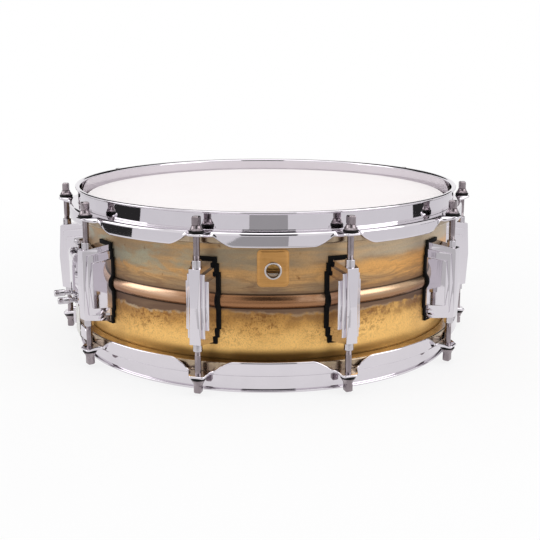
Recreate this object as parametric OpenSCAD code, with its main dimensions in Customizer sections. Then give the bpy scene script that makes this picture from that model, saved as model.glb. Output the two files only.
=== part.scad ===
// Snare drum: beaded brass shell, stepped lugs, triple-flanged hoops and a throw-off strainer.
// Origin on the drum's axis at the lower rim, +Z up, vent at the front (-Y).

/* [Shell] */
// Outer diameter of the shell
shell_d = 354; // [330:1:380]
// Depth from one bearing edge to the other
shell_depth = 127; // [120:1:165]
// Thickness of the brass sheet
shell_wall = 1.2; // [0.8:0.1:1.6]
// Height of the centre bead
bead_h = 12; // [10:0.5:14]
// How far the bead stands out from the shell
bead_proud = 3; // [2:0.1:3.2]
// Depth of the 45 degree bevel at each bearing edge
edge_bevel = 3.5; // [3:0.1:4.5]
// Width of the flange turned inwards behind each bearing edge
edge_flange = 5; // [3:0.5:8]
// Height of the vent above the shell's middle
vent_rise = 26; // [22:0.5:32]
// Inner radius of the vent grommet
vent_r = 5.3; // [4:0.1:6]
// Width of the plate around the vent
plate_w = 26; // [22:0.5:32]
// Height of the plate around the vent
plate_h = 31; // [22:0.5:32]
// Thickness of the plate around the vent
plate_t = 0.6; // [0.4:0.1:1]

/* [Heads] */
// Thickness of the batter film
batter_film_t = 0.3; // [0.2:0.05:0.4]
// Thickness of the snare-side film
snare_film_t = 0.25; // [0.2:0.05:0.4]
// Height of the flesh hoops
flesh_h = 8; // [6:0.5:9]

/* [Hoops] */
// Height of each rim beyond its bearing edge
rim_rise = 11.5; // [9:0.5:14]
// Radial room between the shell and the hoop's wall
hoop_gap = 2.9; // [2.4:0.1:3.4]
// Thickness of the hoop's steel
hoop_t = 2.3; // [1.8:0.1:2.6]
// Width of the lip beyond the hoop's wall
lip_w = 2.3; // [2:0.1:4]
// Radial reach from the shell to the outside of the hoop's skirt
skirt_reach = 13.5; // [12.5:0.1:15]
// Distance from the rim down to the ledge
ledge_drop = 15.6; // [14:0.1:17]
// Distance from the rim down to the edge of the skirt
skirt_drop = 28; // [26:0.5:30]
// Half width of an ear
ear_half_w = 9.5; // [8.5:0.5:11]
// Reach of an ear beyond the rod's centre
ear_tip = 6.5; // [6.4:0.1:8]
// Height of the skirt's edge that is left beside an ear
ear_web = 2; // [1:0.5:4]
// Half width of the skirt's rise at an ear
ear_rise_half_w = 25; // [20:0.5:30]
// Half width of the snare gates
gate_half_w = 22.5; // [20:0.5:26]
// Height of the rim that bridges a snare gate
gate_bridge = 3.5; // [2.5:0.5:5]

/* [Rods] */
// Radial distance from the hoop's skirt to the rods' centres
rod_gap = 6; // [5.5:0.1:7]
// Diameter of a rod's shank
rod_d = 5.4; // [5:0.1:5.6]
// How far a rod reaches beyond its nut
rod_through = 4; // [0:0.5:8]
// Radius of a rod's collar
collar_r = 5.5; // [5:0.1:6]
// Height of a rod's collar
collar_h = 4.2; // [3:0.1:5]
// Width of a rod's square head
head_w = 6.2; // [5.5:0.1:6.5]
// Height of a rod's square head
head_h = 7.3; // [6:0.1:8]
// Radius of the black washers
washer_r = 6.3; // [5.6:0.1:6.4]
// Thickness of the black washers
washer_t = 1.9; // [1:0.1:2.5]

/* [Lugs] */
// Half width of the rib, the second step and the third step at their front
step_front_half_w = [4.8, 7.4, 9.8]; // [4.6:0.1:12]
// Half width of the same three steps at the shell
step_back_half_w = [8.2, 9.8, 11.2]; // [7:0.1:14]
// Half height of the same three steps at their front
step_front_half_h = [31, 26.4, 20.2]; // [15:0.1:33]
// Half height of the same three steps at the shell
step_back_half_h = [34.5, 29, 21.8]; // [18:0.1:36]
// Reach of the three steps' ends beyond the rods' centres
step_reach = [6, 2.7, -0.3]; // [-1:0.1:8]
// Further reach of each step at its middle crease
crease = 2.2; // [0.5:0.1:3]
// Narrowing of each step's front on either side of its middle crease
crease_pinch = 1.6; // [0:0.1:2]
// Thickness of the gasket behind a lug
gasket_t = 2; // [1:0.1:3]
// Border of the gasket around a lug
gasket_border = 2; // [0.4:0.1:3]
// Radius of a swivel nut
nut_r = 4; // [3.6:0.1:4.2]
// Height of a nut's outer end above the shell's middle
nut_reach = 37.5; // [37:0.5:41]
// Length of a swivel nut
nut_len = 17; // [12:0.5:20]
// Height of the lug screws above and below the shell's middle
screw_offset = 22; // [18:0.5:26]
// Radius of a screw's shank
screw_r = 2.1; // [1.8:0.1:2.3]

/* [Strainer] */
// Height of the lever's pivot above the shell's middle
pivot_rise = 13; // [13:0.5:17]
// Distance of the base's lower end below the shell's middle
base_drop = 15; // [13:0.5:16]
// Radius of the pivot pin
pin_r = 2; // [1.6:0.1:2.2]
// Length of the lever below its pivot
lever_len = 40; // [36:0.5:46]
// Half width of the lever
lever_half_w = 9; // [8.5:0.1:10]
// Radius of the round hole that lightens the lever
lever_hole_r = 6; // [4:0.5:6.5]
// Radius of the lever's crank
crank_r = 5; // [4:0.1:5.2]
// Half width of the carriage between the crank webs
carriage_half_w = 8; // [7:0.1:8.2]
// Half width of the channel between the base's rails
channel_half_w = 12; // [11.8:0.1:13]
// Thickness of the rails
rail_t = 4; // [3:0.1:5]
// Radius of the tension knob
knob_r = 5.6; // [4.5:0.1:6]
// Height of the tension knob
knob_h = 4.5; // [4:0.5:8]
// Radius of the tension screw
tension_r = 2; // [1.6:0.1:2.2]
// Width of the snare straps
strap_w = 22; // [18:0.5:24]
// Thickness of the snare straps
strap_t = 0.4; // [0.3:0.1:0.6]
// Distance of the strap clamps' middle below the shell's middle
clamp_drop = 25.7; // [25:0.1:27]
// Half height of a strap clamp's plate
clamp_half_h = 6.3; // [5:0.1:6.5]
// Half width of a strap clamp
clamp_half_w = 17.5; // [17.5:0.5:19]
// Half the distance between a clamp's two screws
clamp_screw_half_gap = 14; // [13.5:0.1:14]
// Thickness of a clamp's plate
clamp_plate_t = 2; // [1.5:0.1:3]
// Length of a clamp screw's head
clamp_head_len = 17.5; // [12:0.5:18]

/* [Snares] */
// Number of snare wires
wires = 20; // [12:2:24]
// Distance between neighbouring wires
wire_pitch = 2.1; // [2:0.05:2.4]
// Radius of a wire's coil
wire_r = 0.95; // [0.8:0.05:0.95]
// Distance of the end plates' inner faces from the drum's axis
plate_at = 150; // [140:1:154]
// Width of an end plate's folded rail
fold_w = 6; // [4:0.5:8]
// Length of an end plate's tongue, where the strap lies
tongue_len = 12; // [8:0.5:12]

/* [Hidden] */
lugs = 10;
lug_pitch = 360 / lugs;
lug_angles = [for (i = [0 : lugs - 1]) lug_pitch * (i + 0.5)];
run = 0.05; // running and seating clearance
clear = 0.3; // clearance between parts that move past each other
room = 0.4; // room that the straps and the sliding pieces have
strainer_at = -2 * lug_pitch;
butt_at = strainer_at + 180;
round_fn = 64;

shell_r = shell_d / 2;
height = shell_depth + 2 * rim_rise;
mid_z = height / 2;
edge_z = height - rim_rise;
bead_arc_r = (bead_h * bead_h / 4 + bead_proud * bead_proud) / (2 * bead_proud);
vent_z = mid_z + vent_rise;
grommet_wall = 0.7;
grommet_flange = 1.9;
grommet_flange_t = 1.2;
plate_corner_r = 4;
plate_z = vent_z + 2;

hoop_in = shell_r + hoop_gap;
skirt_out = shell_r + skirt_reach;
lip_out = hoop_in + hoop_t + lip_w;
ledge_z = height - ledge_drop;
rod_circle = skirt_out + rod_gap;
rod_r = rod_d / 2;
ear_corner_r = 5;
ear_t = hoop_t - clear;
ear_flat_half_w = ear_half_w - 0.5;
ear_sagitta = 0.6 * ear_rise_half_w * ear_rise_half_w / shell_r;
ear_rise_h = skirt_drop - ledge_drop - hoop_t - ear_web;
film_gap = 0.35;
flesh_in = shell_r + film_gap + batter_film_t + run;
flesh_out = skirt_out - hoop_t - 2 * room;
flesh_top = ledge_z - hoop_t - run;
collar_z = ledge_z + washer_t + run;
rod_len = collar_z - mid_z - nut_reach + nut_len + rod_through;

gasket_out = shell_r + gasket_t;
thread_bore_r = rod_r + run;
screw_head_r = 4.6;
screw_head_h = 3.2;
screw_flange_r = 6;
screw_flange_t = 1;
screw_tip = rod_circle - nut_r - 3.5;

// Strainer stations: distances from the drum's axis and heights
clamp_z = mid_z - clamp_drop;
clamp_face = flesh_out + room;
clamp_low = clamp_z - clamp_half_h - 0.5;
clamp_top = clamp_z + clamp_half_h + 0.4;
clamp_plate_in = clamp_face + strap_t;
clamp_plate_out = clamp_plate_in + clamp_plate_t;
clamp_shank_r = 1.9;
hub_r = 4;
strip_t = 2.3;
strip_in = clamp_plate_out + room + 0.1;
strip_out = strip_in + strip_t;
pivot_at = strip_out - hub_r;
pivot_z = mid_z + pivot_rise;
slide_in = shell_r + bead_proud + room + 0.2;
slide_out = pivot_at - pin_r - clear;
crank_half = crank_r * cos(45);
crank_pin_r = 1.5;
crank_at = pivot_at - crank_half;
crank_z = pivot_z + crank_half;
crank_pin_half_w = carriage_half_w / 2;
slot_half_h = crank_pin_r + clear;
web_in = carriage_half_w + clear;
web_out = channel_half_w - clear;
web_drop = 7;
carriage_low = pivot_z - 1;
carriage_top = pivot_z + 11;
wing_low = crank_z + slot_half_h + 2;
wing_t = 2.6;
screw_at = (slide_in + slide_out) / 2;
base_low = mid_z - base_drop;
base_plate_out = slide_in - room;
base_screws_z = [base_low + 4.5, pivot_z];
knob_z = carriage_top + clear;
base_top = knob_z - 2 * crank_half - room;
clamp_in = slide_in + clear;
guide_half_w = channel_half_w - clear;
guide_t = 4;
guide_top = clamp_top + 14;
butt_top = clamp_top + 10;
butt_screw_half_gap = 10;
butt_screw_z = clamp_top + 5;

// Levels under the snare-side head
film_low = rim_rise - run - snare_film_t;
strap_top = film_low - room;
strap_low = strap_top - strap_t;
strap_bend_r = 3;
tongue_t = 0.95;
tongue_top = strap_low - run;
strap_in = plate_at + fold_w + 1;
wire_z = film_low - 2 * clear - wire_r;
wires_half_w = (wires - 1) * wire_pitch / 2;
fold_half_w = wires_half_w + 2;
fold_top = film_low - clear;
fold_low = wire_z - wire_r - 2 * clear;

module at(angle) rotate([0, 0, angle]) children();

// Draws an outline of (sideways, height) outwards from radius r
module outwards(r, h) translate([0, -r, 0]) rotate([90, 0, 0]) linear_extrude(h) children();

// Draws an outline of (radius, height) sideways, from -half_w to half_w
module sideways(half_w) rotate([90, 0, -90]) linear_extrude(2 * half_w, center = true) children();

// Draws an outline of (radius, height) between two sideways offsets, on both sides
module both_sides(a, b) for (s = [-1, 1])
    translate([s * (a + b) / 2, 0, 0]) sideways((b - a) / 2) children();

// Turns an upper piece over for the drum's lower end
module lower() translate([0, 0, height]) mirror([0, 0, 1]) children();

module round_about(angles) for (a = angles) at(a) children();

module disc(r) circle(r = r, $fn = round_fn);

module slab(r_from, r_to, z_from, z_to)
    translate([r_from, z_from]) square([r_to - r_from, z_to - z_from]);

module radial_hole(r, z, from, to) translate([0, -from, z]) rotate([90, 0, 0])
    cylinder(r = r, h = to - from, $fn = round_fn);

module rounded(w, h, r) {
    square([w - 2 * r, h], center = true);
    square([w, h - 2 * r], center = true);
    for (x = [-1, 1], y = [-1, 1]) translate([x * (w / 2 - r), y * (h / 2 - r)]) disc(r);
}

// Solid section of the shell's outside, grown by a standoff
module shell_section(grow, z_from, z_to) {
    slab(0, shell_r + grow, z_from, z_to);
    translate([shell_r + bead_proud - bead_arc_r, mid_z]) intersection() {
        disc(bead_arc_r + grow);
        slab(0, 2 * bead_arc_r, -bead_h, bead_h);
    }
}

module shell_body(grow, z_from, z_to) rotate_extrude($fn = 180) shell_section(grow, z_from, z_to);

// Shell

// Half section of one bearing edge: bevel, peak and flange turned inwards
module edge_section() {
    slant = shell_wall * sqrt(2);
    tip = shell_wall / sqrt(2);
    peak_r = shell_r - edge_bevel;
    polygon([
        [shell_r, edge_z - 2 * edge_bevel],
        [shell_r, edge_z - edge_bevel],
        [peak_r, edge_z],
        [peak_r - edge_flange, edge_z - edge_flange],
        [peak_r - edge_flange + tip, edge_z - edge_flange - tip],
        [peak_r, edge_z - slant],
        [shell_r - shell_wall, edge_z - edge_bevel - slant + shell_wall],
        [shell_r - shell_wall, edge_z - 2 * edge_bevel],
    ]);
}

module shell_blank() {
    wall_low = height - edge_z + 2 * edge_bevel;
    rotate_extrude($fn = 180) difference() {
        shell_section(0, wall_low, height - wall_low);
        shell_section(-shell_wall, wall_low - 1, height - wall_low + 1);
    }
    rotate_extrude($fn = 180) edge_section();
    lower() rotate_extrude($fn = 180) edge_section();
}

module shell() color("darkgoldenrod") difference() {
    shell_blank();
    radial_hole(vent_r + grommet_wall + run, vent_z, shell_r - 10, shell_r + 10);
    round_about(lug_angles) for (s = [-1, 1])
        radial_hole(screw_r + clear, mid_z + s * screw_offset, shell_r - 10, shell_r + 10);
    at(strainer_at) for (z = base_screws_z)
        radial_hole(screw_r + clear, z, shell_r - 10, shell_r + 10);
    at(butt_at) for (s = [-1, 1]) translate([s * butt_screw_half_gap, 0, 0])
        radial_hole(screw_r + clear, butt_screw_z, shell_r - 10, shell_r + 10);
}

module vent_plate() color("peru") intersection() {
    difference() {
        shell_body(run + plate_t, 0, height);
        shell_body(run, -1, height + 1);
    }
    outwards(shell_r - 10, 20) translate([0, plate_z]) difference() {
        rounded(plate_w, plate_h, plate_corner_r);
        translate([0, vent_z - plate_z]) disc(vent_r + grommet_wall + run);
    }
}

module vent_grommet() color("silver") translate([0, 0, vent_z]) rotate([90, 0, 0])
    rotate_extrude($fn = round_fn) {
        front = shell_r + plate_t + 2 * run;
        edge_r = vent_r + grommet_flange;
        back = sqrt(pow(shell_r - shell_wall, 2) - edge_r * edge_r) - run;
        slab(vent_r, vent_r + grommet_wall, back - grommet_flange_t, front + grommet_flange_t);
        slab(vent_r, edge_r, front, front + grommet_flange_t);
        slab(vent_r, edge_r, back - grommet_flange_t, back);
    }

// Heads

// Flat film, its bevel over the bearing edge and its collar down to the flesh hoop
module film_section(t) {
    low = edge_z + run;
    peak_r = shell_r - edge_bevel;
    collar_in = shell_r + film_gap;
    collar_low = flesh_top - flesh_h / 2;
    slope = collar_in - peak_r;
    polygon([
        [0, low], [peak_r, low], [collar_in, low - slope], [collar_in, collar_low],
        [collar_in + t, collar_low], [collar_in + t, low + t - slope],
        [peak_r + t / 2, low + t], [0, low + t],
    ]);
}

module flesh_ring() rotate_extrude($fn = 180) difference() {
    slab(flesh_in, flesh_out, flesh_top - flesh_h, flesh_top);
    slab(flesh_in + 2, flesh_out - 2, flesh_top - 1.5, flesh_top + 1);
}

module batter_head() color("whitesmoke") rotate_extrude($fn = 180) film_section(batter_film_t);
module batter_flesh_hoop() color("lightgray") flesh_ring();
module snare_head() color("gainsboro") lower() rotate_extrude($fn = 180) film_section(snare_film_t);
module snare_flesh_hoop() color("lightgray") lower() flesh_ring();

// Counterhoops

module quarter(r, x, y) intersection() {
    disc(r);
    translate([min(x, 0) * r, min(y, 0) * r]) square(r);
}

// Lip, wall, ledge and skirt of the sheet, with its bends
module hoop_section() {
    wall_out = hoop_in + hoop_t;
    ledge_low = ledge_z - hoop_t;
    slab(wall_out, lip_out - hoop_t / 2, height - hoop_t, height);
    translate([lip_out - hoop_t / 2, height - hoop_t / 2]) disc(hoop_t / 2);
    translate([wall_out, height - hoop_t]) quarter(hoop_t, -1, 1);
    slab(hoop_in, wall_out, ledge_z, height - hoop_t);
    translate([wall_out, ledge_z]) quarter(hoop_t, -1, -1);
    slab(wall_out, skirt_out - hoop_t, ledge_low, ledge_z);
    translate([skirt_out - hoop_t, ledge_low]) quarter(hoop_t, 1, 1);
    slab(skirt_out - hoop_t, skirt_out, height - skirt_drop, ledge_low);
}

// Plan of an ear: a square-ended tongue that flares into the skirt
module ear_plan() {
    tip = rod_circle + ear_tip;
    root = hoop_in + 2 * hoop_t;
    flare = 4;
    for (s = [-1, 1]) {
        translate([s * (ear_half_w - ear_corner_r), -(tip - ear_corner_r)]) disc(ear_corner_r);
        difference() {
            translate([s > 0 ? ear_half_w - 1 : -ear_half_w - flare, -skirt_out - flare])
                square([flare + 1, flare + hoop_t / 2]);
            translate([s * (ear_half_w + flare), -skirt_out - flare]) disc(flare);
        }
    }
    translate([-ear_half_w + ear_corner_r, -tip])
        square([2 * (ear_half_w - ear_corner_r), tip - root]);
    translate([-ear_half_w, -tip + ear_corner_r]) square([2 * ear_half_w, tip - ear_corner_r - root]);
}

// Gap under an ear, where the skirt's edge rises in an S to each side
module ear_rise() {
    low = height - skirt_drop;
    steps = 8;
    span = ear_rise_half_w - ear_flat_half_w;
    rise = [
        for (i = [0 : steps])
            [ear_flat_half_w + span * i / steps, ear_rise_h * (1 + cos(180 * i / steps)) / 2]
    ];
    polygon(concat(
        [for (p = rise) [p[0], low + p[1]]],
        [[ear_rise_half_w, low - 1], [-ear_rise_half_w, low - 1]],
        [for (i = [steps : -1 : 0]) [-rise[i][0], low + rise[i][1]]]
    ));
}

module hoop() difference() {
    union() {
        rotate_extrude($fn = 180) hoop_section();
        round_about(lug_angles) translate([0, 0, ledge_z - ear_t]) linear_extrude(ear_t) ear_plan();
    }
    round_about(lug_angles) {
        outwards(skirt_out - hoop_t - ear_sagitta, hoop_t + ear_sagitta + 1) ear_rise();
        translate([0, -rod_circle, ledge_z - 2 * hoop_t])
            cylinder(r = rod_r + clear, h = 4 * hoop_t, $fn = round_fn);
    }
}

module washers() round_about(lug_angles) translate([0, -rod_circle, ledge_z]) difference() {
    cylinder(r = washer_r, h = washer_t, $fn = round_fn);
    translate([0, 0, -1]) cylinder(r = rod_r + clear, h = washer_t + 2, $fn = round_fn);
}

module batter_hoop() color("silver") hoop();
module batter_washers() color("black") washers();
module snare_hoop() color("silver") difference() {
    lower() hoop();
    for (a = [strainer_at, butt_at]) at(a) outwards(hoop_in - 5, skirt_out - hoop_in + 10)
        translate([-gate_half_w, gate_bridge]) square([2 * gate_half_w, skirt_drop]);
}
module snare_washers() color("black") lower() washers();

// Tension rods

module rod(angle) at(angle) translate([0, -rod_circle, collar_z]) {
    chamfer = 0.8;
    flange_h = 1.2;
    cone_h = 1;
    crown_h = 2.2;
    top = collar_h + head_h;
    translate([0, 0, -rod_len + chamfer])
        cylinder(r = rod_r, h = rod_len - chamfer, $fn = round_fn);
    translate([0, 0, -rod_len])
        cylinder(r1 = rod_r - chamfer, r2 = rod_r, h = chamfer, $fn = round_fn);
    rotate_extrude($fn = round_fn) polygon([
        [0, 0], [collar_r, 0], [collar_r, flange_h], [head_w * 0.75, flange_h + cone_h],
        [head_w * 0.62, collar_h], [0, collar_h],
    ]);
    intersection() {
        translate([-head_w / 2, -head_w / 2, collar_h]) cube([head_w, head_w, head_h]);
        rotate_extrude($fn = round_fn) polygon([
            [0, 0], [head_w, 0], [head_w, top - crown_h], [head_w * 0.4, top], [0, top],
        ]);
    }
}

module batter_rod(i) color("lightslategray") rod(lug_angles[i]);
module snare_rod(i) color("lightslategray") lower() rod(lug_angles[i]);

// Lugs

// One step of a lug: its side profile crossed with its plan
module lug_step(i) intersection() {
    front = rod_circle + step_reach[i];
    back = shell_r - 2;
    pinched = step_front_half_w[i] - crease_pinch;
    sideways(2 * step_back_half_w[i]) polygon([
        [back, -step_back_half_h[i]], [gasket_out, -step_back_half_h[i]],
        [front, -step_front_half_h[i]], [front + crease, 0], [front, step_front_half_h[i]],
        [gasket_out, step_back_half_h[i]], [back, step_back_half_h[i]],
    ]);
    linear_extrude(3 * step_back_half_h[i], center = true) polygon([
        [-step_back_half_w[i], -back], [-step_back_half_w[i], -gasket_out],
        [-step_front_half_w[i], -front], [-pinched, -front - crease],
        [pinched, -front - crease], [step_front_half_w[i], -front],
        [step_back_half_w[i], -gasket_out], [step_back_half_w[i], -back],
    ]);
}

module lug_footprint(border) for (i = [0 : 2])
    square(2 * [step_back_half_w[i] + border, step_back_half_h[i] + border], center = true);

module lug(n) color("silver") at(lug_angles[n]) difference() {
    translate([0, 0, mid_z]) for (i = [0 : 2]) lug_step(i);
    shell_body(gasket_t + run, -1, height + 1);
    translate([0, -rod_circle, mid_z])
        cylinder(r = nut_r + run, h = 2 * nut_reach + 2, center = true, $fn = round_fn);
    for (s = [-1, 1])
        radial_hole(screw_r + run, mid_z + s * screw_offset, shell_r - 5, screw_tip + 1);
}

module lug_gaskets() color("black") difference() {
    intersection() {
        difference() {
            shell_body(gasket_t, 0, height);
            shell_body(run, -1, height + 1);
        }
        round_about(lug_angles) outwards(shell_r - 10, 30)
            translate([0, mid_z]) lug_footprint(gasket_border);
    }
    round_about(lug_angles) for (s = [-1, 1])
        radial_hole(screw_r + run, mid_z + s * screw_offset, shell_r - 5, gasket_out + 5);
}

module nut() translate([0, -rod_circle, mid_z + nut_reach - nut_len]) difference() {
    cylinder(r = nut_r, h = nut_len, $fn = round_fn);
    translate([0, 0, -1]) cylinder(r = thread_bore_r, h = nut_len + 2, $fn = round_fn);
}

module swivel_nuts() color("gray") {
    round_about(lug_angles) nut();
    lower() round_about(lug_angles) nut();
}

// Hexagon screw with a flange, from inside the shell out to a tip, beside the radius by an offset
module inside_screw(z, tip, offset = 0) translate([offset, 0, 0]) {
    wall_in = shell_r - shell_wall - run;
    flange_edge = abs(offset) + screw_flange_r;
    seat = sqrt(wall_in * wall_in - flange_edge * flange_edge) - run;
    radial_hole(screw_r, z, seat - screw_flange_t, tip);
    radial_hole(screw_flange_r, z, seat - screw_flange_t, seat);
    translate([0, -seat + screw_flange_t + screw_head_h, z]) rotate([90, 0, 0])
        cylinder(r = screw_head_r, h = screw_head_h + screw_flange_t / 2, $fn = 6);
}

module lug_screws() color("dimgray") round_about(lug_angles) for (s = [-1, 1])
    inside_screw(mid_z + s * screw_offset, screw_tip);

module mount_screws() color("dimgray") {
    at(strainer_at) for (z = base_screws_z) inside_screw(z, base_plate_out - clear);
    at(butt_at) for (s = [-1, 1])
        inside_screw(butt_screw_z, clamp_face - 3, s * butt_screw_half_gap);
}

// Strainer

// Side of the base: a low rail with a rounded boss for the pivot pin
module rail_outline() difference() {
    rail_out = slide_out - 2;
    boss_r = 5;
    boss_low = base_low + 16;
    union() {
        slab(shell_r - 2, rail_out, base_low, base_top + 2);
        slab(shell_r - 2, pivot_at + 1, boss_low, base_top - 2);
        translate([pivot_at - 1, pivot_z]) disc(boss_r);
        translate([rail_out, boss_low]) disc(boss_r - 1);
    }
    translate([pivot_at, pivot_z]) disc(pin_r + run);
}

module strainer_base() color("silver") at(strainer_at) difference() {
    union() {
        both_sides(channel_half_w, channel_half_w + rail_t) rail_outline();
        sideways(channel_half_w + rail_t) slab(shell_r - 2, base_plate_out, base_low, base_top);
    }
    shell_body(run, -1, height + 1);
    for (z = base_screws_z) radial_hole(screw_r + run, z, shell_r - 5, base_plate_out + 1);
}

module lever_pivot_pin() color("gray") at(strainer_at) {
    half_len = channel_half_w + rail_t + run;
    sideways(half_len) translate([pivot_at, pivot_z]) disc(pin_r);
    both_sides(half_len, half_len + 1) translate([pivot_at, pivot_z]) disc(pin_r + 1);
}

module lever_face() difference() {
    union() {
        translate([-web_out, pivot_z - web_drop]) square([2 * web_out, web_drop + hub_r]);
        translate([-lever_half_w, pivot_z - lever_len + lever_half_w])
            square([2 * lever_half_w, lever_len - lever_half_w]);
        translate([0, pivot_z - lever_len + lever_half_w]) disc(lever_half_w);
    }
    translate([0, pivot_z - lever_len + lever_half_w]) disc(lever_hole_r);
}

module throw_off_lever() color("silver") at(strainer_at) difference() {
    union() {
        intersection() {
            sideways(2 * web_out) {
                slab(strip_in, strip_out, pivot_z - lever_len, pivot_z);
                translate([pivot_at, pivot_z]) intersection() {
                    disc(hub_r);
                    slab(strip_in - pivot_at, hub_r, 0, pin_r);
                }
            }
            outwards(strip_in - 1, 10) lever_face();
        }
        both_sides(web_in, web_out) {
            translate([pivot_at, pivot_z]) disc(hub_r);
            slab(pivot_at, strip_out, pivot_z - web_drop, pivot_z);
            translate([pivot_at, pivot_z]) rotate(135) slab(0, crank_r, -crank_pin_r, crank_pin_r);
            translate([crank_at, crank_z]) disc(crank_pin_r);
        }
        both_sides(crank_pin_half_w + 2 * clear, web_in)
            translate([crank_at, crank_z]) disc(crank_pin_r);
    }
    sideways(2 * web_out) translate([pivot_at, pivot_z]) disc(pin_r + run);
}

module carriage() color("gray") at(strainer_at) difference() {
    union() {
        sideways(carriage_half_w) slab(slide_in, slide_out, carriage_low, carriage_top);
        sideways(guide_half_w) slab(slide_in, slide_in + wing_t, wing_low, carriage_top);
    }
    both_sides(crank_pin_half_w, carriage_half_w + 1)
        slab(slide_in - 1, slide_out + 1, crank_z - slot_half_h, crank_z + slot_half_h);
    translate([0, -screw_at, carriage_low - 1])
        cylinder(r = tension_r + run, h = carriage_top - carriage_low + 2, $fn = round_fn);
}

module tension_knob() color("silver") at(strainer_at) translate([0, -screw_at, 0]) {
    flutes = 18;
    flute_r = 0.7;
    stop_h = 1.8;
    stop_r = tension_r + 0.9;
    foot = 1;
    crown = 1;
    screw_low = clamp_low + 2;
    translate([0, 0, screw_low])
        cylinder(r = tension_r, h = knob_z - screw_low + foot, $fn = round_fn);
    translate([0, 0, carriage_low - clear - stop_h]) cylinder(r = stop_r, h = stop_h, $fn = round_fn);
    translate([0, 0, knob_z]) difference() {
        rotate_extrude($fn = round_fn) polygon([
            [0, 0], [knob_r - foot, 0], [knob_r, foot], [knob_r, knob_h - crown],
            [knob_r - crown, knob_h], [0, knob_h],
        ]);
        for (i = [0 : flutes - 1]) rotate(i * 360 / flutes)
            translate([knob_r + flute_r / 3, 0, -1]) cylinder(r = flute_r, h = knob_h + 2, $fn = 24);
    }
}

module clamp_block() color("silver") at(strainer_at) difference() {
    union() {
        sideways(clamp_half_w) polygon([
            [clamp_in, clamp_low + 2], [clamp_in + 2, clamp_low], [clamp_face, clamp_low],
            [clamp_face, clamp_top - 1.5], [clamp_face - 1.5, clamp_top], [clamp_in, clamp_top],
        ]);
        both_sides(7, guide_half_w) slab(clamp_in, clamp_in + guide_t, clamp_top - 1, guide_top);
    }
    translate([0, -screw_at, clamp_low - 1])
        cylinder(r = tension_r + run, h = clamp_top - clamp_low + 2, $fn = round_fn);
    clamp_screw_holes();
}

module clamp_screw_holes() for (s = [-1, 1]) translate([s * clamp_screw_half_gap, 0, 0])
    radial_hole(clamp_shank_r + run, clamp_z, clamp_face - 5, clamp_plate_out + 1);

module strap_clamp_plate() difference() {
    outwards(clamp_plate_in, clamp_plate_t) translate([0, clamp_z])
        rounded(2 * clamp_half_w, 2 * clamp_half_h, 3);
    clamp_screw_holes();
}

// Thumb screws of a strap clamp, waisted behind a round head
module thumb_screws() for (s = [-1, 1])
    translate([s * clamp_screw_half_gap, 0, clamp_z]) rotate([90, 0, 0])
    rotate_extrude($fn = round_fn) {
        seat = clamp_plate_out + run;
        tip = seat + clamp_head_len;
        foot_r = 3.4;
        foot_t = 2;
        neck_r = 2.3;
        barrel_r = 3.2;
        barrel_len = 10;
        edge_r = 1;
        slab(0, clamp_shank_r, clamp_face - 4, seat + foot_t);
        slab(0, foot_r, seat, seat + foot_t);
        slab(0, neck_r, seat, tip - edge_r);
        slab(0, barrel_r, tip - barrel_len, tip - edge_r);
        slab(0, barrel_r - edge_r, tip - barrel_len, tip);
        translate([barrel_r - edge_r, tip - edge_r]) disc(edge_r);
    }

// Strap from its clamp down through the gate and in under the head
module strap() sideways(strap_w / 2) {
    bend_at = clamp_face - strap_bend_r;
    bend_z = strap_low + strap_t + strap_bend_r;
    slab(clamp_face, clamp_face + strap_t, bend_z, clamp_top - 2);
    slab(strap_in, bend_at, strap_low, strap_top);
    translate([bend_at, bend_z]) difference() {
        quarter(strap_bend_r + strap_t, 1, -1);
        disc(strap_bend_r);
    }
}

module clamp_plate() color("silver") at(strainer_at) strap_clamp_plate();
module clamp_screws() color("silver") at(strainer_at) thumb_screws();
module strainer_strap() color("white") at(strainer_at) strap();

// Butt

module butt_base() color("silver") at(butt_at) difference() {
    slope = 4;
    crown = 2;
    sideways(clamp_half_w) polygon([
        [shell_r - 2, clamp_low], [clamp_face, clamp_low], [clamp_face, clamp_top],
        [clamp_face - slope, butt_top - crown], [clamp_face - slope - crown, butt_top],
        [shell_r - 2, butt_top],
    ]);
    shell_body(run, -1, height + 1);
    clamp_screw_holes();
    for (s = [-1, 1]) translate([s * butt_screw_half_gap, 0, 0])
        radial_hole(screw_r + run, butt_screw_z, shell_r - 5, clamp_face - 2);
}

module butt_clamp_plate() color("silver") at(butt_at) strap_clamp_plate();
module butt_screws() color("silver") at(butt_at) thumb_screws();
module butt_strap() color("white") at(butt_at) strap();

// Snares

module snare_wires() color("silver") at(strainer_at) for (i = [0 : wires - 1])
    translate([i * wire_pitch - wires_half_w, 0, wire_z]) rotate([90, 0, 0])
        cylinder(r = wire_r, h = 2 * (plate_at - run), center = true, $fn = 24);

module snare_end_plates() color("goldenrod") for (a = [strainer_at, butt_at]) at(a) {
    sideways(fold_half_w) {
        slab(plate_at, plate_at + fold_w, fold_low, fold_top);
        slab(plate_at + fold_w - 1, plate_at + fold_w + tongue_len, tongue_top - tongue_t, tongue_top);
    }
}

shell();
vent_plate();
vent_grommet();
batter_head();
batter_flesh_hoop();
snare_head();
snare_flesh_hoop();
for (i = [0 : lugs - 1]) lug(i);
lug_gaskets();
swivel_nuts();
lug_screws();
mount_screws();
strainer_base();
lever_pivot_pin();
throw_off_lever();
carriage();
tension_knob();
clamp_block();
clamp_plate();
clamp_screws();
strainer_strap();
butt_base();
butt_clamp_plate();
butt_screws();
butt_strap();
snare_wires();
snare_end_plates();
batter_hoop();
batter_washers();
snare_hoop();
snare_washers();
for (i = [0 : lugs - 1]) batter_rod(i);
for (i = [0 : lugs - 1]) snare_rod(i);
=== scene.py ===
import math

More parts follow.
